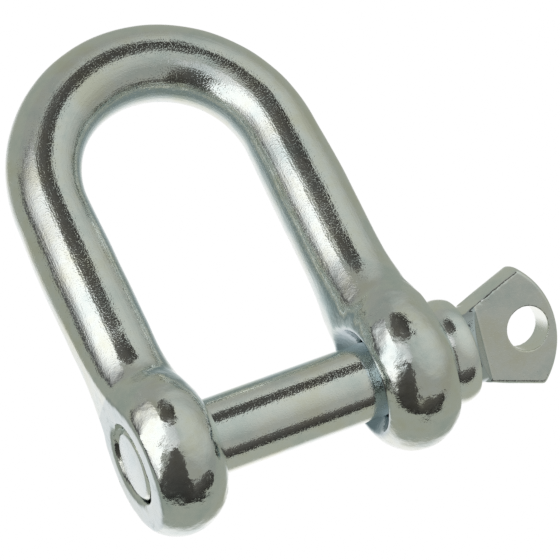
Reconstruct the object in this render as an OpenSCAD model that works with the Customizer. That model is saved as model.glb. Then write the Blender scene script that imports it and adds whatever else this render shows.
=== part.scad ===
// Chain joining shackle: a forged D-shaped bow with two eyes, closed by a screw pin.
// It lies as it comes to rest, on the rims of both eyes and on the crown of the bow.
// X runs along the pin towards its tab, Y from the pin to the crown, Z is up.

/* [Bow] */
// Diameter of the round rod
rod_d = 10; // [8:0.1:11]
// Inside length from the pin to the crown
inside_l = 41.4; // [34:0.2:60]
// Clear jaw between the two eyes
jaw_w = 20.8; // [18:0.2:30]

/* [Eyes] */
// Outside diameter of an eye
eye_d = 21; // [19.6:0.1:24]
// Radius of the full-round rim of an eye
eye_rim_r = 5.9; // [5.4:0.1:6.6]
// Thickness of an eye from the jaw to its ground outer face
eye_t = 10.6; // [10:0.1:11.2]
// Draft of the ground face, which lets it run out along the leg, in degrees
face_draft = 1; // [0.5:0.1:2]
// How much a leg's radius swells where it runs into its eye
swell = 0.8; // [0.4:0.05:0.85]
// Radius of the hollow sweep of that swelling
swell_sweep_r = 7; // [4:0.1:12]
// Height above the pin's axis at which the swelling starts
swell_y = 12; // [11:0.1:18]

/* [Holes] */
// Radial clearance of the pin in the threaded eye
thread_clear = 0.05; // [0.02:0.01:0.1]
// Radial clearance of the pin in the plain eye
hole_clear = 0.6; // [0.2:0.05:0.9]
// Countersink round the threaded hole and the outside of the plain hole
countersink = 0.6; // [0.2:0.05:0.8]
// Wide mouth of the plain hole on the jaw side
jaw_countersink = 2.3; // [0.4:0.1:3]

/* [Pin] */
// Diameter of the shank and its thread
pin_d = 9.8; // [9:0.1:10.4]
// Depth of the tip below the face of the threaded eye
tip_recess = 0.4; // [0:0.1:2]
// Chamfer on the tip
tip_chamfer = 0.7; // [0.3:0.05:1.2]
// Gap between the collar and the face of the plain eye
collar_gap = 0.3; // [0.25:0.05:1.5]
// Diameter of the collar
collar_d = 13.8; // [12:0.1:16]
// Thickness of the collar
collar_t = 3.9; // [3:0.1:6]
// Width of the straight band round the middle of the collar
collar_band = 1.4; // [0.6:0.1:2.2]
// How far the rounding of the collar's edges reaches in over its faces
collar_edge = 0.9; // [0.4:0.1:1.4]

/* [Tab] */
// Diameter of the neck between the collar and the tab
neck_d = 10.2; // [9:0.1:11.5]
// Length of the neck from the collar to the flat of the tab
neck_l = 2.4; // [2:0.1:6]
// Length of the ramp at the end of the neck
ramp_l = 1.9; // [1:0.1:2]
// Thickness of the tab
tab_t = 4.2; // [3:0.1:5.5]
// Length of the tab's flat, up to the top of its arched end
tab_l = 10.4; // [9:0.1:15]
// Width of the tab across its two corners
tab_w = 15.4; // [12.5:0.1:18]
// Rise of the arched end above the two corners
tab_rise = 3.4; // [1.5:0.1:4]
// Turn of the tab about the pin, measured from the plane of the bow, in degrees
tab_turn = 34; // [0:1:180]
// Diameter of the hole in the tab
tab_hole_d = 5.6; // [4:0.1:6.5]
// Wall between that hole and the arched end
tab_hole_wall = 1.1; // [0.9:0.1:2]

/* [Hidden] */
$fn = 96;

// Overlap that sinks one shape into the next
sink = 0.1;

rod_r = rod_d / 2;
pin_r = pin_d / 2;
eye_r = eye_d / 2;
neck_r = neck_d / 2;

// Both legs and both eyes are centred on leg_x, and the crown's arc on crown_y
leg_x = jaw_w / 2 + eye_rim_r;
crown_y = inside_l + pin_r - (leg_x - rod_r);
face_x = jaw_w / 2 + eye_t;

// Arc over the collar's edges: it leaves the band and meets each face collar_edge below it
collar_r = collar_d / 2;
collar_arc_in = (pow(collar_edge, 2) + pow(collar_t / 2, 2) - pow(collar_band / 2, 2)) / (2 * collar_edge);
collar_arc_r = sqrt(pow(collar_arc_in, 2) + pow(collar_band / 2, 2));

// Stations along the pin
tip_x = tip_recess - face_x;
collar_x = face_x + collar_gap;
neck_x = collar_x + collar_t;
tab_x = neck_x + neck_l;
tab_end_x = tab_x + tab_l;

// Tab: its sides spread from the flats of the neck to the corners, and an arc closes them
corner_x = tab_end_x - tab_rise;
root_w = 2 * sqrt(pow(neck_r, 2) - pow(tab_t / 2 - sink, 2));
side_slope = (tab_w - root_w) / 2 / (corner_x - tab_x);
arch_r = (pow(tab_w / 2, 2) + pow(tab_rise, 2)) / (2 * tab_rise);
ramp_run = ramp_l / (neck_r - tab_t / 2);
neck_end_x = tab_x + (neck_r + sink - root_w / 2) / side_slope;
tab_hole_x = tab_end_x - tab_hole_wall - tab_hole_d / 2;

// Lying still: the bow tips until its crown is as low as the rims of the eyes
lay_angle = asin((eye_r - rod_r) / (crown_y + leg_x));
crown_far_y = (crown_y + leg_x) * cos(lay_angle) + rod_r;
rest_at = [(leg_x + rod_r - tab_end_x) / 2, (eye_r - crown_far_y) / 2, eye_r];

// Moves a piece from the pin's own axes to where it lies, centred over the origin
module lie() {
    translate(rest_at) rotate([-lay_angle, 0, 0]) children();
}

// Turns a profile about the pin's axis, with its second coordinate along X
module turn_about_pin() {
    rotate([0, 90, 0]) rotate_extrude() children();
}

// Both sides of the bow, the plain eye's side first
module both_sides() {
    for (side = [0, 1]) mirror([side, 0, 0]) children();
}

// One leg: a round rod that swells in a hollow sweep where it runs into its eye
module leg() {
    translate([leg_x, 0, 0]) rotate([-90, 0, 0]) rotate_extrude() {
        square([rod_r, crown_y]);
        difference() {
            square([rod_r + swell, swell_y]);
            translate([rod_r + swell_sweep_r - sink, swell_y]) circle(swell_sweep_r);
        }
    }
}

// Crown: the bend that joins the two legs
module crown() {
    translate([0, crown_y, 0]) rotate_extrude(angle = 180) translate([leg_x, 0]) circle(rod_r);
}

// Barrel of one eye, with a full-round rim
module eye_barrel() {
    turn_about_pin() translate([0, leg_x]) {
        translate([0, -eye_rim_r]) square([eye_r - eye_rim_r, 2 * eye_rim_r]);
        intersection() {
            translate([eye_r - eye_rim_r, 0]) circle(eye_rim_r);
            translate([0, -eye_r]) square([eye_r, 2 * eye_r]);
        }
    }
}

// What the grinding of one outer face takes off
module ground_face() {
    translate([face_x, 0, 0]) rotate([0, 0, -face_draft])
        translate([0, -2 * eye_r, -eye_r]) cube([eye_rim_r, crown_y + 2 * eye_r, eye_d]);
}

// Hole through one eye, countersunk by jaw_sink on the jaw side and by countersink outside
module eye_hole(r, jaw_sink) {
    inner_x = jaw_w / 2;
    turn_about_pin() polygon([
        [0, inner_x - eye_rim_r],
        [r + jaw_sink + eye_rim_r, inner_x - eye_rim_r],
        [r, inner_x + jaw_sink],
        [r, face_x - countersink],
        [r + countersink + eye_rim_r, face_x + eye_rim_r],
        [0, face_x + eye_rim_r]
    ]);
}

// Bow: one forging with a plain eye on the tab's side and a threaded eye on the other
module shackle_body() {
    color("lightsteelblue") lie() difference() {
        union() {
            crown();
            both_sides() {
                leg();
                eye_barrel();
            }
        }
        both_sides() ground_face();
        eye_hole(pin_r + hole_clear, jaw_countersink);
        mirror([1, 0, 0]) eye_hole(pin_r + thread_clear, countersink);
    }
}

// Collar's half section, with one arc that rounds both edges
module collar_profile() {
    translate([0, collar_x + collar_t / 2]) intersection() {
        translate([0, -collar_t / 2]) square([collar_r, collar_t]);
        union() {
            translate([collar_r - collar_arc_in, 0]) circle(collar_arc_r);
            translate([0, -collar_t]) square([collar_r - collar_arc_in, 2 * collar_t]);
        }
    }
}

// Shank and collar, turned about the pin's axis
module pin_shank() {
    turn_about_pin() {
        polygon([
            [0, tip_x],
            [pin_r - tip_chamfer, tip_x],
            [pin_r, tip_x + tip_chamfer],
            [pin_r, collar_x + collar_t / 2],
            [0, collar_x + collar_t / 2]
        ]);
        collar_profile();
    }
}

// Round neck, pressed down by a ramp on each side until it sinks into the tab
module neck() {
    start_x = neck_x - collar_t / 2;
    upper = [
        [start_x - ramp_l, neck_d],
        [tab_x + (tab_t / 2 - neck_d) * ramp_run, neck_d],
        [tab_x + sink * ramp_run, tab_t / 2 - sink],
        [neck_end_x + ramp_l, tab_t / 2 - sink]
    ];
    lower = [for (i = [len(upper) - 1:-1:0]) [upper[i].x, -upper[i].y]];
    intersection() {
        translate([start_x, 0, 0]) rotate([0, 90, 0]) cylinder(h = neck_end_x - start_x, r = neck_r);
        rotate([90, 0, 0]) linear_extrude(height = 2 * neck_d, center = true) polygon(concat(upper, lower));
    }
}

// Outline of the tab: straight spreading sides and an arched end
module tab_outline() {
    root_x = tab_x - ramp_l / 2;
    root_half = root_w / 2 - side_slope * ramp_l / 2;
    end_half = root_w / 2 + side_slope * tab_l;
    difference() {
        intersection() {
            polygon([
                [root_x, -root_half],
                [tab_end_x, -end_half],
                [tab_end_x, end_half],
                [root_x, root_half]
            ]);
            translate([tab_end_x - arch_r, 0]) circle(arch_r);
        }
        translate([tab_hole_x, 0]) circle(d = tab_hole_d);
    }
}

// Pin: one forging from the threaded tip to the flattened tab
module screw_pin() {
    color("silver") lie() {
        pin_shank();
        rotate([tab_turn, 0, 0]) {
            neck();
            linear_extrude(height = tab_t, center = true) tab_outline();
        }
    }
}

shackle_body();
screw_pin();
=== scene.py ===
"""Zinc-plated D shackle with its screw pin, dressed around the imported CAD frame."""

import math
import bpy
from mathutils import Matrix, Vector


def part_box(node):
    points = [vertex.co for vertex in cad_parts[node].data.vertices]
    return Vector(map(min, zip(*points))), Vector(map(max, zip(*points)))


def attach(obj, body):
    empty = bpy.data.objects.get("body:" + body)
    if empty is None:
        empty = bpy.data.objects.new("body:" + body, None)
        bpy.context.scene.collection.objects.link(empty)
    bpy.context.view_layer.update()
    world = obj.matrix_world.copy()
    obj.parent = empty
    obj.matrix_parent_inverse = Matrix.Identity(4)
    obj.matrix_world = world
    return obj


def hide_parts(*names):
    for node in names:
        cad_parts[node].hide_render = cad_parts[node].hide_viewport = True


bl_info = {
    "name": "Chain Joining Shackle",
    "version": (1, 0, 0),
    "blender": (4, 5, 0),
    "location": "3D View > Sidebar > Shackle",
    "description": "Forged bow, screw pin and photo studio of a zinc-plated D shackle",
    "category": "Object",
}

import bmesh
import bpy
from bpy.props import (
    FloatProperty,
    FloatVectorProperty,
    IntProperty,
    PointerProperty,
)
from bpy.types import Operator, Panel, PropertyGroup
from mathutils import Matrix, Vector, noise

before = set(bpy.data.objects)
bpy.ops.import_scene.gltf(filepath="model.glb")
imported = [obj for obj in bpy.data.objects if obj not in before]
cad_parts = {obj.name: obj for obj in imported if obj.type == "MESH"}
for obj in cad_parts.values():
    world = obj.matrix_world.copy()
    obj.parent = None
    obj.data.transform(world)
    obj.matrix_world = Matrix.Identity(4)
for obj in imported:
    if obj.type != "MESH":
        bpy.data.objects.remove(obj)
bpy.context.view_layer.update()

MM = 0.001
DEG = math.pi / 180

# Segments round a turned piece, round the rod and in a turn of the thread
TURNED_STEPS = 128
ROD_STEPS = 96
THREAD_STEPS = 40
# Half the mouth of a thread's groove, as a share of the pitch, which leaves a narrow crest
GROOVE_HALF = 0.44
# Points closer than this are one point, and edges shorter than this are slivers
MERGE = 0.001 * MM
SLIVER = 0.002 * MM
# Stretches along the rod, from the start of the bend, where it thins and where it fills out again
THINS = (-9 * MM, 2 * MM)
FILLS = (8 * MM, 24 * MM)
# Middle of a leg's belly as a share of the leg's height, and the reach of the belly
BELLY_AT = 0.8
BELLY_REACH = 8 * MM
# How far the forging of an eye runs on up its leg
FORGED_OVER = 2 * MM
# Half the width of the sheets under the shackle
SHEET_HALF = 3000 * MM
# Cosine of the angle from the tent's lit corner at which its cloth is dim
LIT_REACH = 0.56

# The eyes' rims are the bow's highest and lowest points, and the bow is centred on the pin's middle
bow_low, bow_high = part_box("shackle_body")
EYE_R = (bow_high.z - bow_low.z) / 2
PIN_MIDDLE = Vector(((bow_low.x + bow_high.x) / 2, bow_low.y + EYE_R, EYE_R))


def hex_colour(code):
    """Linear colour of an sRGB hex value."""
    channels = [int(code[i : i + 2], 16) / 255 for i in (0, 2, 4)]
    return [c / 12.92 if c <= 0.04045 else ((c + 0.055) / 1.055) ** 2.4 for c in channels]


def length(name, description, default):
    """A size in metres, given in millimetres."""
    return FloatProperty(
        name=name, description=description, default=default * MM, unit="LENGTH", precision=5
    )


def angle(name, description, default):
    """An angle in radians, given in degrees."""
    return FloatProperty(
        name=name, description=description, default=default * DEG, subtype="ANGLE"
    )


def factor(name, description, default):
    """A share between 0 and 1."""
    return FloatProperty(
        name=name, description=description, default=default, subtype="FACTOR", min=0, max=1
    )


def passes(name, description, default):
    """A number of smoothing passes."""
    return IntProperty(name=name, description=description, default=default, min=0)


def colour(name, description, default):
    """A colour, given as an sRGB hex value."""
    return FloatVectorProperty(
        name=name,
        description=description,
        default=hex_colour(default),
        subtype="COLOR",
        min=0,
        max=1,
    )


class BowSizes(PropertyGroup):
    """Sizes of the forged bow."""

    rod_d: length("Rod", "Diameter of the round rod at the crown", 10.14)
    leg_d: length("Leg", "Diameter of the lower half of a leg", 10.34)
    shoulder_d: length("Shoulder", "Diameter where bending drew the rod thin", 9.8)
    belly: length("Belly", "How far the legs bow outwards halfway up", 0.14)
    inside_l: length("Inside length", "From the pin to the crown", 41.4)
    jaw_w: length("Jaw", "Clear width between the two eyes", 20.8)
    eye_rim_r: length("Eye rim", "Radius of the full-round rim of an eye", 5.9)
    eye_t: length("Eye thickness", "From the jaw to the ground outer face", 10.6)
    face_draft: angle("Face draft", "Draft of the ground face along the leg", 2)
    lean: length("Lean", "How far the rod stands over towards the tapped eye", 0.25)
    pinch: length("Pinch", "How much closer the legs are at the crown than at the eyes", 0.8)
    spread: length("Spread", "How far the plain eye stands out from its leg", 0.3)
    foot_r: length("Foot radius", "Radius of a leg where it runs into its eye", 5.8)
    foot_y: length("Foot height", "Where the tapped eye's leg starts to narrow", 8.4)
    swell_y: length("Swell height", "Where the tapped eye's leg has narrowed to the rod", 14)
    gusset: length("Gusset", "How much thicker than wide the tapped eye's leg is at its foot", 0.7)
    stretch: length("Stretch", "How far the tapped eye was drawn out towards its leg", 0.9)
    plain_foot_y: length("Plain foot height", "Where the plain eye's leg starts to narrow", 9.5)
    plain_swell_y: length(
        "Plain swell height", "Where the plain eye's leg has narrowed to the rod", 18
    )
    plain_gusset: length(
        "Plain gusset", "How much thicker than wide the plain eye's leg is at its foot", 1.2
    )
    plain_stretch: length(
        "Plain stretch", "How far the plain eye was drawn out towards its leg", 2.4
    )
    plain_taper: angle("Plain taper", "Taper of the plain eye towards its outer face", 3)
    hole_d: length("Plain hole", "Diameter of the clearance hole", 10.3)
    tapped_d: length("Tapped hole", "Diameter inside the thread of the tapped hole", 9.9)
    countersink: length("Countersink", "Countersink of the tapped and outer holes", 0.6)
    jaw_countersink: length("Jaw countersink", "Countersink of the plain hole, jaw side", 2.65)
    valley_passes: passes("Valley passes", "Smoothing of the valley between a leg and its eye", 36)
    skin_passes: passes("Skin passes", "Smoothing of the finished skin", 3)
    lump: length("Lump", "Width of the hammer lumps on the eyes", 3.2)
    lump_depth: length("Lump depth", "Depth of the hammer lumps on the eyes", 0.09)
    rod_lump_depth: length("Rod lump depth", "Depth of the hammer lumps along the rod", 0.03)
    dent: length("Dent", "Width of the small dents between the lumps", 1.4)
    dent_depth: length("Dent depth", "Depth of the small dents", 0.07)
    mesh_step: length("Mesh step", "Edge length of the finished skin", 0.29)


class PinSizes(PropertyGroup):
    """Sizes of the screw pin."""

    pin_d: length("Shank", "Diameter of the shank", 9.8)
    tip_recess: length("Tip recess", "Depth of the tip below the tapped eye's face", 0.2)
    tip_chamfer: length("Tip chamfer", "Chamfer on the tip", 0.7)
    thread_l: length("Thread", "Length of the thread from the tip", 10.4)
    pitch: length("Pitch", "Pitch of the thread", 1.5)
    thread_depth: length("Thread depth", "Depth of the thread's grooves", 0.85)
    # The painted shade on the shank inside an eye comes in over this length
    fade: length("Fade", "Length over which the shank's plate dulls inside an eye", 2.4)
    collar_gap: length("Collar gap", "Gap between the collar and the plain eye", 0.1)
    collar_d: length("Collar", "Diameter of the collar", 13.8)
    collar_t: length("Collar thickness", "Thickness of the collar", 3.9)
    collar_bulge: length("Collar bulge", "Rise of the collar's barrel above its edges", 0.6)
    edge_round: length("Edge rounding", "Rounding of the turned edges", 0.3)
    neck_d: length("Neck", "Diameter of the neck", 10.2)
    neck_l: length("Neck length", "From the collar to the flat of the tab", 2.4)
    ramp_l: length("Ramp", "Length of the ramp from the neck down to the tab", 1.9)
    tab_t: length("Tab thickness", "Thickness of the tab", 4.2)
    tab_l: length("Tab length", "Length of the tab up to the top of its arch", 10.4)
    tab_w: length("Tab width", "Width of the tab across its corners", 15.4)
    tab_rise: length("Tab arch", "Rise of the arched end above the corners", 3.4)
    tab_turn: angle("Tab turn", "Turn of the tab from the plane of the bow", 34)
    tab_hole_d: length("Tab hole", "Diameter of the hole in the tab", 5.75)
    tab_hole_wall: length("Tab hole wall", "Wall between the hole and the arch", 1.1)
    tab_flare: length("Tab flare", "How much the tab is wider than the neck at its root", 0.25)
    tab_offset: length("Tab offset", "How far the tab was forged off the pin's axis", 0.1)
    tab_edge: length("Tab edge", "Rounding of the tab's edges", 0.3)
    tab_bulge: length("Tab bulge", "How far the tab's sides bulge in the middle", 0.25)
    burr: length("Burr", "Height of the burr along the sheared edge of the tab", 0.18)
    mesh_step: length("Mesh step", "Edge length of the head's skin", 0.11)
    skin_passes: passes("Skin passes", "Smoothing of the head's skin", 5)


class ZincFinish(PropertyGroup):
    """Bright zinc plate on the whole shackle."""

    plate: colour("Plate", "Colour of the plate", "E0E4E0")
    pin_plate: colour("Pin plate", "Colour of the plate on the smoother pin", "EFF2EE")
    blue: colour("Blue", "Tint where the clear passivation turns blue", "ECF3F5")
    straw: colour("Straw", "Tint where the clear passivation turns straw", "FAF7EC")
    # Colour that the plate is mixed towards for painted shade in the bores, on the shank inside an
    # eye and on the neck's ramps, and for the darker ground faces and tip
    shade_and_dull_tone: colour("Shaded", "Duller plate in the bores, where the current didn't reach", "B2BEC3")
    cloud: length("Cloud", "Width of a patch of one tint", 7)
    # A blasted dimple is about half as wide, and is drawn this coarse to show in the picture
    grain: length("Grain", "Width of one dimple of the blasted steel", 0.17)
    grain_depth: length("Grain depth", "Depth of the dimples", 0.01)
    mark_l: length("Mark length", "Length of the rod's draw marks", 5)
    mark_w: length("Mark width", "Width of the rod's draw marks", 0.45)
    mark_depth: length("Mark depth", "Depth of the rod's draw marks", 0.03)
    peel: length("Peel", "Width of the ripples in the plate", 0.9)
    peel_depth: length("Peel depth", "Depth of the ripples on the hammered eyes", 0.045)
    scuff: length("Scuff", "Width of the scuffs on the hammered eyes", 1.2)
    pin_grain: factor("Pin grain", "Depth of the pin's dimples as a share of the bow's", 0.7)
    face_dull: factor("Face dullness", "How dull the ground faces and the tip are", 0.5)
    # Depth of the painted shade on the shank inside an eye
    shank_shade: factor("Shank dullness", "How dull the shank is inside an eye", 0.7)
    # Depth of the painted shade on the neck's ramps
    ramp_shade: factor("Ramp dullness", "How dull the ramps of the neck are", 0.8)


class StudioSizes(PropertyGroup):
    """Camera and lights of the studio."""

    lens: FloatProperty(
        name="Lens", description="Focal length on a 36 mm sensor", default=257.14, unit="CAMERA"
    )
    distance: length("Distance", "From the camera to its target", 509.56)
    azimuth: angle("Azimuth", "Turn of the camera about the vertical", -54.33)
    elevation: angle("Elevation", "Height of the camera above the horizon", 68.055)
    roll: angle("Roll", "Roll of the camera about its own axis", 32.916)
    target: FloatVectorProperty(
        name="Target",
        description="Point in the middle of the picture",
        default=(-1.05 * MM, -6.06 * MM, 8 * MM),
        subtype="TRANSLATION",
        unit="LENGTH",
        precision=5,
    )
    lit_corner: FloatVectorProperty(
        name="Lit corner",
        description="Way to the upper corner where the tent's cloth is brightest",
        default=(0.585, 0.289, 0.757),
        subtype="DIRECTION",
    )
    cloth: colour("Cloth", "Dim cloth of the tent", "A3A59F")
    lit_cloth: colour("Lit cloth", "Cloth of the tent at its lit corner", "CED2CC")
    diffuser: colour("Diffuser", "Lit side of the tent", "FFFFFF")
    opening: colour("Opening", "Dark openings of the tent", "6A6864")
    table: colour("Table", "Table under the shackle, where it is dim", "A7ABA1")
    table_glow: colour("Table glow", "Table inside the bow, seen steeply", "C7D0D1")
    # Painted shade of the bow on the table inside it
    table_shade: colour("Table shade", "Table inside the bow, seen at a low angle", "818E8E")


def sizes(group):
    """One of the groups of sizes that are kept on the scene."""
    return getattr(bpy.context.scene, group)


def leg_x(bow):
    """Half the distance between the two legs, which is where the eyes are too."""
    return bow.jaw_w / 2 + bow.eye_rim_r


def crown_y(bow):
    """Height of the crown's centre above the pin's axis."""
    return bow.inside_l + sizes("shackle_pin").pin_d / 2 - leg_x(bow) + bow.rod_d / 2


def face_x(bow):
    """Distance from the middle of the pin to the ground face of an eye."""
    return bow.jaw_w / 2 + bow.eye_t


def resting():
    """Takes a piece from the pin's own axes to where it lies on its eyes and its crown."""
    bow = sizes("shackle_bow")
    dip = math.asin((EYE_R - bow.rod_d / 2) / (crown_y(bow) + leg_x(bow)))
    return Matrix.Translation(PIN_MIDDLE) @ Matrix.Rotation(-dip, 4, "X")


def only(kind, geometry):
    """The vertices, edges or faces among what an operator returns."""
    return [g for g in geometry if isinstance(g, kind)]


def draw_ring(bm, ring, centre, move, growth):
    """Extrudes a ring of edges by move, scaled by growth about its new centre."""
    drawn = bmesh.ops.extrude_edge_only(bm, edges=ring)["geom"]
    verts = only(bmesh.types.BMVert, drawn)
    bmesh.ops.translate(bm, verts=verts, vec=move)
    bmesh.ops.scale(
        bm,
        verts=verts,
        vec=(growth, growth, growth),
        space=Matrix.Translation(-(centre + move)),
    )
    return only(bmesh.types.BMEdge, drawn)


def close_up(bm):
    """Merges the doubles that spinning leaves and turns all faces outwards."""
    bmesh.ops.remove_doubles(bm, verts=bm.verts[:], dist=MERGE)
    bmesh.ops.recalc_face_normals(bm, faces=bm.faces[:])


def turned(profile):
    """Solid turned about the pin's axis from a profile of (x, radius) points."""
    bm = bmesh.new()
    verts = [bm.verts.new((x, r, 0)) for x, r in profile]
    for a, b in zip(verts, verts[1:]):
        bm.edges.new((a, b))
    bmesh.ops.spin(
        bm,
        geom=bm.verts[:] + bm.edges[:],
        cent=(0, 0, 0),
        axis=(1, 0, 0),
        angle=2 * math.pi,
        steps=TURNED_STEPS,
        use_merge=True,
    )
    close_up(bm)
    return bm


def thread_groove(start_x, turns, pitch, mouth_r, root_r):
    """V groove that runs round the pin's axis as a screw thread, from mouth_r to root_r."""
    bm = bmesh.new()
    half = pitch * GROOVE_HALF
    corners = [(start_x - half, mouth_r), (start_x, root_r), (start_x + half, mouth_r)]
    verts = [bm.verts.new((x, r, 0)) for x, r in corners]
    first = [bm.edges.new((verts[i - 1], verts[i])) for i in range(3)]
    spun = bmesh.ops.spin(
        bm,
        geom=verts + first,
        cent=(0, 0, 0),
        axis=(1, 0, 0),
        dvec=(pitch / THREAD_STEPS, 0, 0),
        angle=2 * math.pi * turns,
        steps=THREAD_STEPS * turns,
    )
    bmesh.ops.contextual_create(bm, geom=first)
    bmesh.ops.contextual_create(bm, geom=only(bmesh.types.BMEdge, spun["geom_last"]))
    close_up(bm)
    return bm


def cut_flat(bm, point, normal):
    """Takes off what lies beyond a plane and closes the cut."""
    cut = bmesh.ops.bisect_plane(
        bm,
        geom=bm.verts[:] + bm.edges[:] + bm.faces[:],
        plane_co=point,
        plane_no=normal,
        clear_outer=True,
    )["geom_cut"]
    bmesh.ops.contextual_create(bm, geom=only(bmesh.types.BMEdge, cut))


def as_object(name, bm):
    """A new object in the scene from a bmesh."""
    mesh = bpy.data.meshes.new(name)
    bm.to_mesh(mesh)
    bm.free()
    obj = bpy.data.objects.new(name, mesh)
    bpy.context.scene.collection.objects.link(obj)
    return obj


def settle(obj):
    """Applies an object's modifiers to its mesh."""
    graph = bpy.context.evaluated_depsgraph_get()
    mesh = bpy.data.meshes.new_from_object(obj.evaluated_get(graph))
    obj.modifiers.clear()
    old, obj.data = obj.data, mesh
    bpy.data.meshes.remove(old)


def fuse(obj, step):
    """Makes one closed skin of an object's overlapping shells."""
    remesh = obj.modifiers.new("fuse", "REMESH")
    remesh.mode = "VOXEL"
    remesh.voxel_size = step
    remesh.use_smooth_shade = True
    settle(obj)


def combine(obj, operation, *tools):
    """Cuts solids out of an object, or adds them to it, and removes them."""
    for tool in tools:
        step = obj.modifiers.new(tool.name, "BOOLEAN")
        step.operation = operation
        step.solver = "MANIFOLD"
        step.object = tool
    settle(obj)
    for tool in tools:
        mesh = tool.data
        bpy.data.objects.remove(tool)
        bpy.data.meshes.remove(mesh)


def cut_away(obj, *tools):
    """Cuts solids out of an object and removes them."""
    combine(obj, "DIFFERENCE", *tools)


def join_shell(bm, shell):
    """Adds a second shell to a bmesh."""
    mesh = bpy.data.meshes.new("shell")
    shell.to_mesh(mesh)
    shell.free()
    bm.from_mesh(mesh)
    bpy.data.meshes.remove(mesh)


def reshape(obj, change):
    """Runs change on a bmesh of the object's mesh."""
    bm = bmesh.new()
    bm.from_mesh(obj.data)
    change(bm)
    bm.to_mesh(obj.data)
    bm.free()


def relax(bm, verts, passes):
    """Smooths some vertices towards their neighbours."""
    for _ in range(passes):
        bmesh.ops.smooth_vert(
            bm, verts=verts, factor=0.5, use_axis_x=True, use_axis_y=True, use_axis_z=True
        )


def ease(value, start, end):
    """Goes smoothly from 0 at start to 1 at end."""
    t = min(1, max(0, (value - start) / (end - start)))
    return t * t * (3 - 2 * t)


def leg_lines(bow):
    """Places of the two legs at the pin, slope of the plain eye's leg and middle of the bend. The
    bow leans a little to one side, as one that was bent by hammer does."""
    near, far = leg_x(bow) - bow.lean + bow.spread, -leg_x(bow) - bow.lean
    return near, far, -bow.pinch / crown_y(bow), (near - bow.pinch + far) / 2


def leg_stations(bow, foot_y, swell_y):
    """Heights and radii up one leg: its foot at the eye, the hollow sweep and the plain rod."""
    rod_r, sweep = bow.rod_d / 2, 12
    stations = [(0, bow.foot_r), (foot_y, bow.foot_r)]
    for i in range(1, sweep + 1):
        t = i / sweep
        radius = rod_r + (bow.foot_r - rod_r) * (1 - t) ** 2
        stations.append((foot_y + (swell_y - foot_y) * t, radius))
    return stations + [(crown_y(bow), rod_r)]


def along_rod(bow, point):
    """The rod's middle beside a point, the way from there out of the bow, and the length of rod
    from the pin."""
    top = crown_y(bow)
    near, far, slope, bend = leg_lines(bow)
    if point.y < top:
        if point.x > bend:
            return Vector((near + slope * point.y, point.y, 0)), Vector((1, 0, 0)), point.y
        return Vector((far, point.y, 0)), Vector((-1, 0, 0)), point.y
    radius = bend - far
    spoke = Vector((point.x - bend, point.y - top, 0)).normalized()
    return Vector((bend, top, 0)) + spoke * radius, spoke, top + radius * math.asin(spoke.y)


def bent_point(bow, point):
    """Where bending the bow left a point of the rod: thinner at the shoulders, with the legs bowed
    out. The eyes stay as they are."""
    top = crown_y(bow)
    middle, outward, along = along_rod(bow, point)
    thin, full = (ease(along, top + start, top + end) for start, end in (THINS, FILLS))
    gauge = bow.leg_d + (bow.shoulder_d - bow.leg_d) * thin + (bow.rod_d - bow.shoulder_d) * full
    share = ease(along, bow.foot_y, bow.swell_y)
    growth = 1 + share * (gauge / bow.rod_d - 1)
    out = bow.belly * share * math.exp(-(((along - BELLY_AT * top) / BELLY_REACH) ** 2))
    return middle + (point - middle) * growth + outward * out


def tapered_point(bow, point):
    """Where forging left a point of the plain eye: its barrel narrows towards its outer face."""
    if point.x < 0:
        return point
    full_y, even_x = 4 * MM, leg_x(bow) + MM
    share = 1 - ease(point.y, full_y, bow.plain_foot_y)
    growth = 1 + share * (even_x - point.x) / EYE_R * math.tan(bow.plain_taper)
    return Vector((point.x, point.y * growth, point.z * growth))


def rod(bow):
    """Round rod of the bow: up the plain eye's leg, round the crown and down the other."""
    bm = bmesh.new()
    top = crown_y(bow)
    near, far, slope, bend = leg_lines(bow)
    upright = Matrix.Translation((near, 0, 0)) @ Matrix.Rotation(-90 * DEG, 4, "X")
    bmesh.ops.create_circle(
        bm, cap_ends=True, segments=ROD_STEPS, radius=bow.foot_r, matrix=upright
    )
    ring = bm.edges[:]
    stations = leg_stations(bow, bow.plain_foot_y, bow.plain_swell_y)
    for (y0, r0), (y1, r1) in zip(stations, stations[1:]):
        start, move = Vector((near + slope * y0, y0, 0)), Vector((slope * (y1 - y0), y1 - y0, 0))
        ring = draw_ring(bm, ring, start, move, r1 / r0)
    spun = bmesh.ops.spin(
        bm,
        geom=ring,
        cent=(bend, top, 0),
        axis=(0, 0, 1),
        angle=math.pi,
        steps=ROD_STEPS,
    )
    ring = only(bmesh.types.BMEdge, spun["geom_last"])
    stations = leg_stations(bow, bow.foot_y, bow.swell_y)[::-1]
    for (y0, r0), (y1, r1) in zip(stations, stations[1:]):
        ring = draw_ring(bm, ring, Vector((far, y0, 0)), Vector((0, y1 - y0, 0)), r1 / r0)
    bmesh.ops.contextual_create(bm, geom=ring)
    close_up(bm)
    for v in bm.verts:
        if v.co.x > bend:
            gusset, foot_y, swell_y = bow.plain_gusset, bow.plain_foot_y, bow.plain_swell_y
        else:
            gusset, foot_y, swell_y = bow.gusset, bow.foot_y, bow.swell_y
        share = min(1, max(0, (swell_y - v.co.y) / (swell_y - foot_y))) ** 2
        v.co.z *= 1 + gusset / bow.foot_r * share
    return bm


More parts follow.
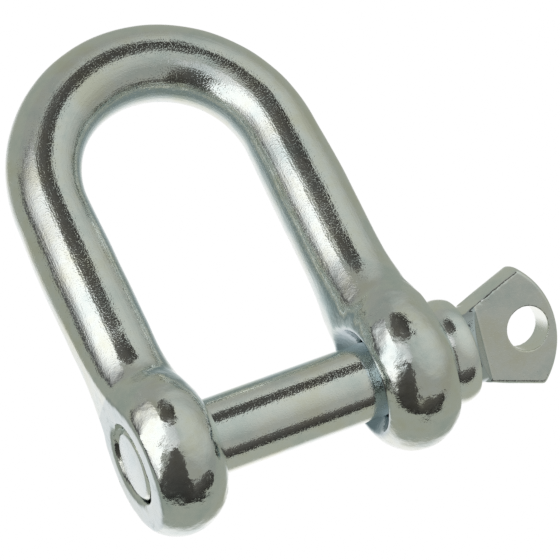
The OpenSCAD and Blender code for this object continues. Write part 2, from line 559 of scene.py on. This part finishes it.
def eye_barrel(bow, side):
    """Barrel of one eye, turned about the pin's axis, with a full-round rim and drawn out a little
    towards its leg."""
    spread, stretch = (bow.spread, bow.plain_stretch) if side > 0 else (0, bow.stretch)
    middle = side * leg_x(bow) + spread
    rim_r, arc = bow.eye_rim_r, 32
    profile = [(middle - rim_r, 0)]
    for i in range(arc + 1):
        turn = math.pi * i / arc
        profile.append(
            (middle - rim_r * math.cos(turn), EYE_R - rim_r + rim_r * math.sin(turn))
        )
    profile.append((middle + rim_r, 0))
    bm = turned(profile)
    start_y = 2 * MM
    for v in bm.verts:
        v.co.y += stretch * ease(v.co.y, start_y, EYE_R)
    return bm


def eye_hole(bow, side, radius, jaw_sink):
    """What drilling and countersinking one eye takes out."""
    jaw, face, over = bow.jaw_w / 2, face_x(bow), bow.eye_rim_r
    profile = [
        (jaw - over, 0),
        (jaw - over, radius + jaw_sink + over),
        (jaw + jaw_sink, radius),
        (face - bow.countersink, radius),
        (face + over, radius + bow.countersink + over),
        (face + over, 0),
    ]
    return turned([(side * x, r) for x, r in profile])


def forge_bow(bow, pin, finish):
    """Bow's mesh about the pin's own axes."""
    shells = rod(bow)
    for side in (1, -1):
        join_shell(shells, eye_barrel(bow, side))
    obj = as_object("bow", shells)
    fuse(obj, bow.mesh_step)

    def blend_and_grind(bm):
        low, high = EYE_R - bow.eye_rim_r, bow.swell_y + FORGED_OVER
        valley = [v for v in bm.verts if low < v.co.y < high]
        relax(bm, valley, bow.valley_passes)
        for v in bm.verts:
            v.co = tapered_point(bow, bent_point(bow, v.co))
        bm.normal_update()
        for v in bm.verts:
            share = 1 - ease(v.co.y, bow.foot_y, bow.swell_y)
            depth = bow.rod_lump_depth + share * (bow.lump_depth - bow.rod_lump_depth)
            lump = depth * noise.noise(v.co / bow.lump)
            dent = share * bow.dent_depth * noise.noise(v.co / bow.dent)
            v.co += v.normal * (lump + dent)
        for side in (1, -1):
            normal = Vector((side * math.cos(bow.face_draft), -math.sin(bow.face_draft), 0))
            cut_flat(bm, (side * face_x(bow), 0, 0), normal)

    reshape(obj, blend_and_grind)
    tapped_r = bow.tapped_d / 2
    # The thread runs out past both ends of the tapped hole, and its groove starts inside the bore
    run_out, inside = MM, 0.15 * MM
    groove = thread_groove(
        -face_x(bow) - run_out,
        math.ceil((bow.eye_t + 2 * run_out) / pin.pitch),
        pin.pitch,
        tapped_r - inside,
        tapped_r + pin.thread_depth,
    )
    cut_away(
        obj,
        as_object("plain_hole", eye_hole(bow, 1, bow.hole_d / 2, bow.jaw_countersink)),
        as_object("tapped_hole", eye_hole(bow, -1, tapped_r, bow.countersink)),
        as_object("tapped_thread", groove),
    )
    fuse(obj, bow.mesh_step)

    def mark(bm):
        relax(bm, bm.verts[:], bow.skin_passes)
        hammered = bm.verts.layers.float.new("hammered")
        shade_and_dull = bm.verts.layers.float.new("shade_and_dull")
        straight = bm.verts.layers.float_vector.new("straight")
        mouth_r = bow.hole_d / 2 + bow.jaw_countersink
        edge, skin = MM, 0.2 * MM
        for v in bm.verts:
            off_axis = math.hypot(v.co.y, v.co.z)
            middle, outward, along = along_rod(bow, v.co)
            v[straight] = (along, (v.co - middle).dot(outward), v.co.z)
            v[hammered] = 1 - ease(v.co.y, bow.foot_y, bow.swell_y + FORGED_OVER)
            ground_x = face_x(bow) + v.co.y * math.tan(bow.face_draft) - skin
            # Ground faces get a darker tint, and painted shade darkens the bores of both holes,
            # fading out at their mouths
            if abs(v.co.x) > ground_x and v.co.y < bow.foot_y:
                v[shade_and_dull] = finish.face_dull
            elif 0 < v.co.x < face_x(bow) - bow.countersink / 2:
                v[shade_and_dull] = 1 - ease(off_axis, mouth_r - edge, mouth_r)
            elif edge - face_x(bow) < v.co.x < 0:
                v[shade_and_dull] = 1 - ease(off_axis, tapped_r, tapped_r + pin.thread_depth + edge)

    reshape(obj, mark)
    return obj


def pin_stations(bow, pin):
    """Places along the pin: tip, collar, neck, flat of the tab and end of the tab."""
    tip = pin.tip_recess - face_x(bow)
    collar = face_x(bow) + pin.collar_gap
    neck = collar + pin.collar_t
    flat = neck + pin.neck_l
    return tip, collar, neck, flat, flat + pin.tab_l


def shade_run(bow, pin):
    """Where the painted shade on the shank starts at an eye, and where it is at full depth."""
    lip = 0.2 * MM
    return bow.jaw_w / 2 - lip, bow.jaw_w / 2 + pin.fade


def round_edges(bm, sharp, radius):
    """Rounds the edges at which faces meet at more than the angle sharp."""
    bmesh.ops.bevel(
        bm,
        geom=[e for e in bm.edges if e.calc_face_angle(0) > sharp],
        offset=radius,
        offset_type="OFFSET",
        affect="EDGES",
        segments=3,
        profile=0.5,
        material=-1,
        clamp_overlap=True,
    )


def shank_and_collar(bow, pin):
    """Shank and barrel-shaped collar, turned about the pin's axis."""
    tip, collar, neck, _, _ = pin_stations(bow, pin)
    pin_r, edge_r = pin.pin_d / 2, pin.collar_d / 2 - pin.collar_bulge
    half = pin.collar_t / 2
    barrel_r = (half**2 + pin.collar_bulge**2) / (2 * pin.collar_bulge)
    reach, arc = math.asin(half / barrel_r), 12
    profile = [(tip, 0), (tip, pin_r - pin.tip_chamfer), (tip + pin.tip_chamfer, pin_r)]
    # Rings where the painted shade on the shank inside the eyes starts and where it is full
    shade_begins, shade_full = shade_run(bow, pin)
    rings = (-shade_full, -shade_begins, shade_begins, shade_full, collar)
    profile += [(x, pin_r) for x in rings]
    for i in range(arc + 1):
        turn = reach * (2 * i / arc - 1)
        profile.append(
            (
                collar + half + barrel_r * math.sin(turn),
                edge_r + pin.collar_bulge - barrel_r * (1 - math.cos(turn)),
            )
        )
    profile.append((neck, 0))
    bm = turned(profile)
    round_edges(bm, 30 * DEG, pin.edge_round)
    return bm


def ramped_neck(bow, pin):
    """Neck that a ramp on each side presses down to the tab."""
    _, _, neck, flat, _ = pin_stations(bow, pin)
    neck_r = pin.neck_d / 2
    start, end = neck - pin.collar_t / 2, flat + pin.ramp_l
    bm = turned([(start, 0), (start, neck_r), (end, neck_r), (end, 0)])
    drop = neck_r - pin.tab_t / 2
    for side in (1, -1):
        normal = Vector((drop, 0, side * pin.ramp_l)).normalized()
        cut_flat(bm, (flat, 0, side * pin.tab_t / 2), normal)
    return bm


def tab_root(pin):
    """Half the width of the tab where it leaves the neck."""
    return math.sqrt((pin.neck_d / 2) ** 2 - (pin.tab_t / 2) ** 2) + pin.tab_flare


def tab_blank(bow, pin):
    """Flat tab with spreading sides and an arched end, before it is drilled."""
    _, _, _, flat, end = pin_stations(bow, pin)
    half_w, rise = pin.tab_w / 2, pin.tab_rise
    arch_r = (half_w**2 + rise**2) / (2 * rise)
    root_w = tab_root(pin)
    bm = bmesh.new()
    low = -pin.tab_t / 2
    roots = [bm.verts.new((flat - pin.ramp_l / 2, w, low)) for w in (root_w, -root_w)]
    corner = bm.verts.new((end - rise, -half_w, low))
    spun = bmesh.ops.spin(
        bm,
        geom=[corner],
        cent=(end - arch_r, 0, low),
        axis=(0, 0, 1),
        angle=2 * math.asin(half_w / arch_r),
        steps=32,
    )
    far = only(bmesh.types.BMVert, spun["geom_last"])[0]
    for a, b in ((roots[0], roots[1]), (roots[1], corner), (far, roots[0])):
        bm.edges.new((a, b))
    bmesh.ops.contextual_create(bm, geom=bm.edges[:])
    drawn = bmesh.ops.extrude_face_region(bm, geom=bm.faces[:])["geom"]
    bmesh.ops.translate(bm, verts=only(bmesh.types.BMVert, drawn), vec=(0, 0, pin.tab_t))
    close_up(bm)
    round_edges(bm, 60 * DEG, pin.tab_edge)
    return bm


def raise_burr(bm, bow, pin):
    """Ragged burr that shearing leaves along one long edge of the tab."""
    _, _, _, flat, end = pin_stations(bow, pin)
    corner_x, half_w = end - pin.tab_rise, pin.tab_w / 2
    start = Vector((flat, tab_root(pin), pin.tab_t / 2))
    run = Vector((corner_x, half_w, pin.tab_t / 2)) - start
    outward = Vector((0, 1, 1)).normalized()
    reach, coarse, fine = 0.5 * MM, 2 * MM, 0.6 * MM
    for v in bm.verts:
        along = (v.co - start).dot(run) / run.length_squared
        if 0 < along < 1:
            away = (v.co - start - run * along).length / reach
            ragged = abs(noise.noise(v.co / coarse)) + 0.5 * noise.noise(v.co / fine)
            v.co += outward * pin.burr * max(0, 1 - away) * ragged


def bulge_sides(bm, bow, pin):
    """Makes the tab's sides barrel-shaped, as hammering it flat does."""
    _, _, _, flat, end = pin_stations(bow, pin)
    half_t, hole_r = pin.tab_t / 2, pin.tab_hole_d / 2
    hole = Vector((end - pin.tab_hole_wall - hole_r, 0))
    clear, run_in, side_tilt = 0.4 * MM, 2 * MM, 0.7
    bm.normal_update()
    for v in bm.verts:
        on_side = v.co.x > flat and abs(v.normal.z) < side_tilt
        if on_side and (v.co.xy - hole).length > hole_r + clear:
            share = max(0, 1 - (v.co.z / half_t) ** 2) * ease(v.co.x, flat, flat + run_in)
            v.co += Vector((v.normal.x, v.normal.y, 0)) * pin.tab_bulge * share


def forge_head(bow, pin):
    """Head of the pin: neck and drilled tab, with the tab lying level."""
    shells = ramped_neck(bow, pin)
    join_shell(shells, tab_blank(bow, pin))
    obj = as_object("head", shells)
    fuse(obj, pin.mesh_step)
    end, hole_r = pin_stations(bow, pin)[-1], pin.tab_hole_d / 2
    drill = bmesh.new()
    bmesh.ops.create_cone(
        drill,
        cap_ends=True,
        segments=ROD_STEPS,
        radius1=hole_r,
        radius2=hole_r,
        depth=4 * pin.tab_t,
        matrix=Matrix.Translation((end - pin.tab_hole_wall - hole_r, 0, 0)),
    )
    cut_away(obj, as_object("drill", drill))
    fuse(obj, pin.mesh_step)

    def hammer_and_shear(bm):
        relax(bm, bm.verts[:], pin.skin_passes)
        bulge_sides(bm, bow, pin)
        raise_burr(bm, bow, pin)

    reshape(obj, hammer_and_shear)
    return obj


def make_pin(bow, pin, finish):
    """Pin's mesh about its own axes."""
    tip, collar, neck, flat, _ = pin_stations(bow, pin)
    obj = as_object("pin", shank_and_collar(bow, pin))
    # The thread's groove starts outside the shank
    pin_r, outside = pin.pin_d / 2, 0.1 * MM
    turns = math.floor(pin.thread_l / pin.pitch)
    groove = thread_groove(tip, turns, pin.pitch, pin_r + outside, pin_r - pin.thread_depth)
    cut_away(obj, as_object("pin_thread", groove))
    head = forge_head(bow, pin)
    head.data.transform(
        Matrix.Rotation(pin.tab_turn, 4, "X") @ Matrix.Translation((0, -pin.tab_offset, 0))
    )
    combine(obj, "UNION", head)
    level = Matrix.Rotation(-pin.tab_turn, 3, "X")

    def mark(bm):
        bmesh.ops.dissolve_degenerate(bm, dist=SLIVER, edges=bm.edges[:])
        bmesh.ops.triangulate(bm, faces=[f for f in bm.faces if len(f.verts) > 4])
        shade_and_dull = bm.verts.layers.float.new("shade_and_dull")
        run = shade_run(bow, pin)
        bright_tip, skin, ramp_tilt = 2 * MM, 0.1 * MM, 0.4
        bm.normal_update()
        for v in bm.verts:
            x = v.co.x
            # Painted shade on the shank inside the eyes
            in_eye = ease(abs(x), *run) if tip + bright_tip < x < collar else 0
            # Painted shade on the ramps of the neck
            on_ramp = neck + 2 * skin < x < flat and abs((level @ v.normal).z) > ramp_tilt
            on_tip = x < tip + skin
            v[shade_and_dull] = max(
                finish.shank_shade * in_eye, finish.ramp_shade * on_ramp, finish.face_dull * on_tip
            )

    reshape(obj, mark)
    obj.data.shade_smooth()
    obj.data.set_sharp_from_angle(angle=35 * DEG)
    return obj


def hand_over(obj, name, body, node, material):
    """Lays a finished piece down, gives it its finish and puts it on its body."""
    obj.name = obj.data.name = name
    obj.data.transform(resting())
    obj.data.materials.clear()
    obj.data.materials.append(material)
    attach(obj, body)
    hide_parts(node)


def add_node(tree, kind, inputs=None, **settings):
    """Adds a node with its settings. Inputs are values, or sockets to link."""
    node = tree.nodes.new(kind)
    for field, value in settings.items():
        setattr(node, field, value)
    for socket, value in (inputs or {}).items():
        if isinstance(value, bpy.types.NodeSocket):
            tree.links.new(value, node.inputs[socket])
        else:
            node.inputs[socket].default_value = value
    return node


def passivated_colour(tree, finish, plate, cloud):
    """Colour of the plate, faintly tinted in clouds, darkened by painted shade in the bores, on the
    shank inside the eyes and on the neck's ramps, and darker on the ground faces and the tip.
    """
    tint = add_node(tree, "ShaderNodeValToRGB", {"Fac": cloud})
    stops = tint.color_ramp.elements
    stops[0].position, stops[0].color = 0.36, (*finish.straw, 1)
    stops[1].position, stops[1].color = 0.64, (*finish.blue, 1)
    stops.new(0.5).color = (1, 1, 1, 1)
    tinted = add_node(
        tree,
        "ShaderNodeMix",
        {0: 1, 6: (*plate, 1), 7: tint.outputs["Color"]},
        data_type="RGBA",
        blend_type="MULTIPLY",
    )
    # Where painted shade darkens the bores, the shank inside the eyes and the neck's ramps, and
    # where the ground faces and the tip are darker
    shade_and_dull = add_node(tree, "ShaderNodeAttribute", attribute_name="shade_and_dull").outputs["Fac"]
    coat = add_node(
        tree,
        "ShaderNodeMix",
        {0: shade_and_dull, 6: tinted.outputs[2], 7: (*finish.shade_and_dull_tone, 1)},
        data_type="RGBA",
    )
    return coat.outputs[2]


def scuffed_roughness(tree, finish, place, cloud, hammered):
    """Roughness of the plate: nearly a mirror, a little hazy in clouds and scuffed on the eyes."""
    haze = add_node(
        tree,
        "ShaderNodeMapRange",
        {"Value": cloud, "From Min": 0.3, "From Max": 0.7, "To Min": 0.05, "To Max": 0.1},
    )
    scuff = add_node(
        tree,
        "ShaderNodeTexNoise",
        {"Vector": place, "Scale": 1 / finish.scuff, "Detail": 4, "Roughness": 0.6},
    )
    scuffed = add_node(tree, "ShaderNodeMapRange", {"Value": hammered, "To Min": 0, "To Max": 0.2})
    dull = add_node(
        tree,
        "ShaderNodeMapRange",
        {
            "Value": scuff.outputs["Fac"],
            "From Min": 0.52,
            "From Max": 0.68,
            "To Max": scuffed.outputs["Result"],
        },
    )
    worn = add_node(
        tree, "ShaderNodeMath", {0: haze.outputs["Result"], 1: dull.outputs["Result"]}
    )
    return worn.outputs["Value"]


def blasted_relief(tree, finish, place, hammered, blasting):
    """Bumps of the steel under the plate: ripples on the hammered eyes, draw marks along the rod
    and the dimples of blasting over both."""
    peel = add_node(
        tree, "ShaderNodeTexNoise", {"Vector": place, "Scale": 1 / finish.peel, "Detail": 2}
    )
    rough = add_node(tree, "ShaderNodeMapRange", {"Value": hammered, "To Min": 0.25, "To Max": 1})
    ripple = add_node(
        tree,
        "ShaderNodeBump",
        {
            "Height": peel.outputs["Fac"],
            "Strength": rough.outputs["Result"],
            "Distance": finish.peel_depth,
        },
    )
    straight = add_node(tree, "ShaderNodeAttribute", attribute_name="straight").outputs["Vector"]
    drawn = add_node(
        tree,
        "ShaderNodeMapping",
        {"Vector": straight, "Scale": (1 / finish.mark_l, 1 / finish.mark_w, 1 / finish.mark_w)},
    )
    marks = add_node(
        tree, "ShaderNodeTexNoise", {"Vector": drawn.outputs["Vector"], "Scale": 1, "Detail": 2}
    )
    on_rod = add_node(tree, "ShaderNodeMapRange", {"Value": hammered, "To Min": 1, "To Max": 0})
    streaks = add_node(
        tree,
        "ShaderNodeBump",
        {
            "Height": marks.outputs["Fac"],
            "Strength": on_rod.outputs["Result"],
            "Distance": finish.mark_depth,
            "Normal": ripple.outputs["Normal"],
        },
    )
    grain = add_node(
        tree, "ShaderNodeTexNoise", {"Vector": place, "Scale": 1 / finish.grain, "Detail": 0}
    )
    blasted = add_node(tree, "ShaderNodeMapRange", {"Value": hammered, "To Min": 1, "To Max": 0.4})
    pits = add_node(
        tree,
        "ShaderNodeMapRange",
        {"Value": grain.outputs["Fac"], "From Min": 0.5, "From Max": 0.8},
    )
    dimple = add_node(
        tree,
        "ShaderNodeBump",
        {
            "Height": pits.outputs["Result"],
            "Strength": blasted.outputs["Result"],
            "Distance": finish.grain_depth * blasting,
            "Normal": streaks.outputs["Normal"],
        },
    )
    return dimple.outputs["Normal"]


def bright_zinc(name, plate, blasting):
    """Bright zinc plate over blasted steel. The plate is a mirror that follows the dimples of the
    steel, so the edge of each reflection breaks up into specks, and its clear passivation is
    faintly blue in some places and straw-coloured in others."""
    finish = sizes("shackle_finish")
    material = bpy.data.materials.new(name)
    material.use_nodes = True
    tree = material.node_tree
    place = add_node(tree, "ShaderNodeTexCoord").outputs["Object"]
    hammered = add_node(tree, "ShaderNodeAttribute", attribute_name="hammered").outputs["Fac"]
    cloud = add_node(
        tree,
        "ShaderNodeTexNoise",
        {"Vector": place, "Scale": 1 / finish.cloud, "Detail": 8, "Roughness": 0.68},
    ).outputs["Fac"]
    shader = tree.nodes["Principled BSDF"].inputs
    shader["Metallic"].default_value = 1
    for socket, source in (
        ("Base Color", passivated_colour(tree, finish, plate, cloud)),
        ("Roughness", scuffed_roughness(tree, finish, place, cloud, hammered)),
        ("Normal", blasted_relief(tree, finish, place, hammered, blasting)),
    ):
        tree.links.new(source, shader[socket])
    return material


def glow(name, light_colour):
    """Lit cloth of the photo tent, which shines evenly."""
    material = bpy.data.materials.new(name)
    material.use_nodes = True
    tree = material.node_tree
    tree.nodes.clear()
    light = add_node(tree, "ShaderNodeEmission", {"Color": (*light_colour, 1), "Strength": 1})
    add_node(tree, "ShaderNodeOutputMaterial", {"Surface": light.outputs["Emission"]})
    return material


# Cards of the tent. Each has its colour, its distance from the camera's target in millimetres, its
# brightness along either long edge, and those edges in degrees right of and above the camera
TENT_CARDS = {
    "tent_foot": (
        "diffuser",
        150,
        (0.1, 0.1),
        [(-82, 29), (-82, 14), (-80, 0), (-76, -13), (-70, -25), (-63, -36), (-55, -46)],
        [(-75, 29), (-74, 14), (-71, 1), (-67, -11), (-62, -22), (-56, -32), (-48, -41)],
    ),
    "tent_skirt": (
        "diffuser",
        150,
        (0.15, 1.3),
        [(-46, 56), (-62, 43), (-75, 29), (-74, 14), (-71, 1)]
        + [(-67, -11), (-62, -22), (-56, -32), (-51, -38), (-48, -41)],
        [(-26, 36), (-38, 27), (-46, 20), (-50, 12), (-50, 4)]
        + [(-50, -6), (-49, -15), (-45, -24), (-42, -31), (-40, -38)],
    ),
    "tent_diffuser": (
        "diffuser",
        150,
        (1.3, 1.3),
        [(-26, 36), (-38, 27), (-46, 20), (-50, 12), (-50, 4)]
        + [(-50, -6), (-49, -15), (-45, -24), (-42, -31), (-40, -38)],
        [(-25, 34), (-22, 29), (-16, 22), (-16, 12), (-21, 2)]
        + [(-29, -8), (-32, -15), (-35, -23), (-37, -30), (-39, -37)],
    ),
    "tent_bounce": (
        "diffuser",
        150,
        (0.95, 0.57),
        [(-19, 26), (-16, 21), (-16, 12), (-21, 2), (-29, -8)],
        [(4, 26), (12, 20), (12, 12), (6, 2), (-8, -4)],
    ),
    "tent_flap": (
        "diffuser",
        70,
        (1.3, 1.3),
        [(-42, 16), (-46, 7), (-51, -3), (-55, -13), (-61, -23)],
        [(-19, 14), (-24, 3), (-27, -8), (-30, -19), (-42, -29)],
    ),
    "tent_front_opening": (
        "opening",
        130,
        (0.8, 0.17),
        [(-50, -48), (-36, -42), (-31, -32), (-24, -22), (-20, -12), (-12, 0), (4, 0), (12, -10)]
        + [(14, -22), (15, -34), (19, -46), (32, -41), (50, -35), (62, -30), (72, -27)],
        [(-50, -56), (-40, -58), (-30, -62), (-22, -64), (-14, -66), (-5, -68), (3, -70), (9, -70)]
        + [(15, -70), (22, -70), (30, -69), (42, -67), (56, -60), (68, -51), (77, -38)],
    ),
    "tent_rear_slot": (
        "opening",
        300,
        (0.95, 0.3),
        [(-16, 66), (-22, 54), (-21, 44), (-16, 36), (-6, 32), (5, 33), (14, 40)],
        [(-4, 71), (8, 72), (16, 69), (20, 62), (22, 56), (23, 50), (20, 45)],
    ),
}


def tent_light(name, light_colour):
    """Cloth of a card, as bright as its edges say."""
    material = glow(name, light_colour)
    tree = material.node_tree
    lit = add_node(tree, "ShaderNodeAttribute", attribute_name="lit").outputs["Fac"]
    tree.links.new(lit, tree.nodes["Emission"].inputs["Strength"])
    return material


def tent_card(name, camera, target, distance, edges, brightness, material):
    """Card of the photo tent, hidden from the camera but not from reflections."""
    bm = bmesh.new()
    lit = bm.verts.layers.float.new("lit")
    facing = camera.matrix_world.to_3x3()
    chains = []
    for edge, strength in zip(edges, brightness):
        verts = []
        for right, up in edge:
            off_axis, turn = Vector((right, up)).length * DEG, math.atan2(up, right)
            way = Vector((math.cos(turn), math.sin(turn), 0)) * math.sin(off_axis)
            way.z = math.cos(off_axis)
            verts.append(bm.verts.new(Vector(target) + facing @ way * distance))
            verts[-1][lit] = strength
        chains += [bm.edges.new(pair) for pair in zip(verts, verts[1:])]
    bmesh.ops.bridge_loops(bm, edges=chains)
    card = as_object(name, bm)
    card.data.materials.append(material)
    card.visible_camera = False
    card.visible_shadow = False


def tent(studio):
    """World that the zinc reflects: cloth, brightest at one corner. The camera sees white."""
    world = bpy.data.worlds.new("tent")
    world.use_nodes = True
    tree = world.node_tree
    way = add_node(tree, "ShaderNodeTexCoord").outputs["Generated"]
    across = add_node(
        tree, "ShaderNodeVectorMath", {0: way, 1: studio.lit_corner}, operation="DOT_PRODUCT"
    )
    lit = add_node(
        tree,
        "ShaderNodeMapRange",
        {"Value": across.outputs["Value"], "From Min": LIT_REACH, "From Max": 1},
    )
    cloth = add_node(
        tree,
        "ShaderNodeMix",
        {0: lit.outputs["Result"], 6: (*studio.cloth, 1), 7: (*studio.lit_cloth, 1)},
        data_type="RGBA",
    )
    dim = tree.nodes["Background"]
    tree.links.new(cloth.outputs[2], dim.inputs["Color"])
    plain = add_node(tree, "ShaderNodeBackground", {"Color": (1, 1, 1, 1)})
    seen = add_node(tree, "ShaderNodeLightPath").outputs["Is Camera Ray"]
    both = add_node(
        tree,
        "ShaderNodeMixShader",
        {0: seen, 1: dim.outputs["Background"], 2: plain.outputs["Background"]},
    )
    tree.links.new(both.outputs["Shader"], tree.nodes["World Output"].inputs["Surface"])
    return world


def ground(name, material):
    """Large flat sheet under the shackle."""
    bm = bmesh.new()
    bmesh.ops.create_grid(bm, x_segments=1, y_segments=1, size=SHEET_HALF)
    sheet = as_object(name, bm)
    sheet.data.materials.append(material)
    return sheet


def light_table(studio):
    """Table that the zinc reflects: bright straight below, grey further out, and bluish inside the
    bow, with painted shade of the bow where it is met at a low angle."""
    bow = sizes("shackle_bow")
    material = glow("light_table", studio.table)
    tree = material.node_tree
    place = add_node(tree, "ShaderNodeTexCoord").outputs["Object"]
    middle = PIN_MIDDLE + Vector((0, bow.inside_l / 2, 0))
    inside = add_node(
        tree,
        "ShaderNodeMapping",
        {"Vector": place, "Location": middle, "Scale": (bow.jaw_w, bow.inside_l, 1)},
        vector_type="TEXTURE",
    )
    round_bow = add_node(
        tree,
        "ShaderNodeTexGradient",
        {"Vector": inside.outputs["Vector"]},
        gradient_type="SPHERICAL",
    )
    in_bow = add_node(
        tree,
        "ShaderNodeMapRange",
        {"Value": round_bow.outputs["Fac"], "From Min": 0.2, "From Max": 0.45},
    )
    # Facing is 0 where the table is met from straight above, and 1 where it is met along it
    facing = add_node(tree, "ShaderNodeLayerWeight", {"Blend": 0.5}).outputs["Facing"]
    outside = add_node(tree, "ShaderNodeValToRGB", {"Fac": facing})
    stops = outside.color_ramp.elements
    stops[0].position, stops[0].color = 0.07, (1, 1, 1, 1)
    stops[1].position, stops[1].color = 0.25, (*studio.table, 1)
    # Inside the bow the table carries painted shade of the bow where it is met at a low angle
    within = add_node(tree, "ShaderNodeValToRGB", {"Fac": facing})
    stops = within.color_ramp.elements
    stops[0].position, stops[0].color = 0.08, (1, 1, 1, 1)
    stops[1].position, stops[1].color = 0.48, (*studio.table_shade, 1)
    stops.new(0.23).color = (*studio.table_glow, 1)
    bright = add_node(
        tree,
        "ShaderNodeMix",
        {
            0: in_bow.outputs["Result"],
            6: outside.outputs["Color"],
            7: within.outputs["Color"],
        },
        data_type="RGBA",
    )
    tree.links.new(bright.outputs[2], tree.nodes["Emission"].inputs["Color"])
    return material


class SHACKLE_OT_bow(Operator):
    """Forges the bow with its two eyes"""

    bl_idname = "shackle.bow"
    bl_label = "Forge Bow"

    def execute(self, context):
        finish = sizes("shackle_finish")
        obj = forge_bow(sizes("shackle_bow"), sizes("shackle_pin"), finish)
        material = bright_zinc("zinc_bow", finish.plate, 1)
        hand_over(obj, "forged_bow", "shackle", "shackle_body", material)
        return {"FINISHED"}


class SHACKLE_OT_pin(Operator):
    """Makes the screw pin with its collar and drilled tab"""

    bl_idname = "shackle.pin"
    bl_label = "Make Screw Pin"

    def execute(self, context):
        finish = sizes("shackle_finish")
        obj = make_pin(sizes("shackle_bow"), sizes("shackle_pin"), finish)
        material = bright_zinc("zinc_pin", finish.pin_plate, finish.pin_grain)
        hand_over(obj, "screw_pin_dressed", "pin", "screw_pin", material)
        return {"FINISHED"}


class SHACKLE_OT_studio(Operator):
    """Sets up the floor, the lights and the camera"""

    bl_idname = "shackle.studio"
    bl_label = "Set Up Studio"

    def execute(self, context):
        studio = sizes("shackle_studio")
        scene = context.scene
        scene.view_settings.view_transform = "Standard"
        # The denoiser takes the specks of the grain for noise
        scene.cycles.use_denoising = False
        data = bpy.data.cameras.new("camera")
        data.sensor_width = 36
        data.lens = studio.lens
        camera = bpy.data.objects.new("camera", data)
        scene.collection.objects.link(camera)
        camera.matrix_world = (
            Matrix.Translation(studio.target)
            @ Matrix.Rotation(studio.azimuth, 4, "Z")
            @ Matrix.Rotation(90 * DEG - studio.elevation, 4, "X")
            @ Matrix.Rotation(studio.roll, 4, "Z")
            @ Matrix.Translation((0, 0, studio.distance))
        )
        scene.camera = camera
        lights = {name: tent_light(name, getattr(studio, name)) for name in ("diffuser", "opening")}
        for name, (light, distance, brightness, *edges) in TENT_CARDS.items():
            tent_card(
                name, camera, studio.target, distance * MM, edges, brightness, lights[light]
            )
        scene.world = tent(studio)
        floor = ground("floor", glow("white_floor", (1, 1, 1)))
        floor.visible_diffuse = floor.visible_glossy = floor.visible_shadow = False
        table = ground("light_table", light_table(studio))
        table.visible_camera = False
        return {"FINISHED"}


class SHACKLE_PT_panel(Panel):
    """Sizes and steps of the shackle"""

    bl_idname = "SHACKLE_PT_panel"
    bl_label = "Chain Joining Shackle"
    bl_space_type = "VIEW_3D"
    bl_region_type = "UI"
    bl_category = "Shackle"

    def draw(self, context):
        for group, step in STEPS.items():
            box = self.layout.box()
            if step:
                box.operator(step)
            settings = sizes(group)
            for field in settings.__annotations__:
                box.prop(settings, field)


STEPS = {
    "shackle_bow": "shackle.bow",
    "shackle_pin": "shackle.pin",
    "shackle_finish": None,
    "shackle_studio": "shackle.studio",
}
GROUPS = {
    "shackle_bow": BowSizes,
    "shackle_pin": PinSizes,
    "shackle_finish": ZincFinish,
    "shackle_studio": StudioSizes,
}
CLASSES = (*GROUPS.values(), SHACKLE_OT_bow, SHACKLE_OT_pin, SHACKLE_OT_studio, SHACKLE_PT_panel)


def register():
    """Registers the classes and puts the groups of sizes on the scene."""
    for cls in CLASSES:
        bpy.utils.register_class(cls)
    for name, group in GROUPS.items():
        setattr(bpy.types.Scene, name, PointerProperty(type=group))


def unregister():
    """Takes back what register did."""
    for name in GROUPS:
        delattr(bpy.types.Scene, name)
    for cls in reversed(CLASSES):
        bpy.utils.unregister_class(cls)


def main():
    """Makes the shackle and its studio."""
    register()
    bpy.ops.shackle.bow()
    bpy.ops.shackle.pin()
    bpy.ops.shackle.studio()


if __name__ == "__main__":
    main()
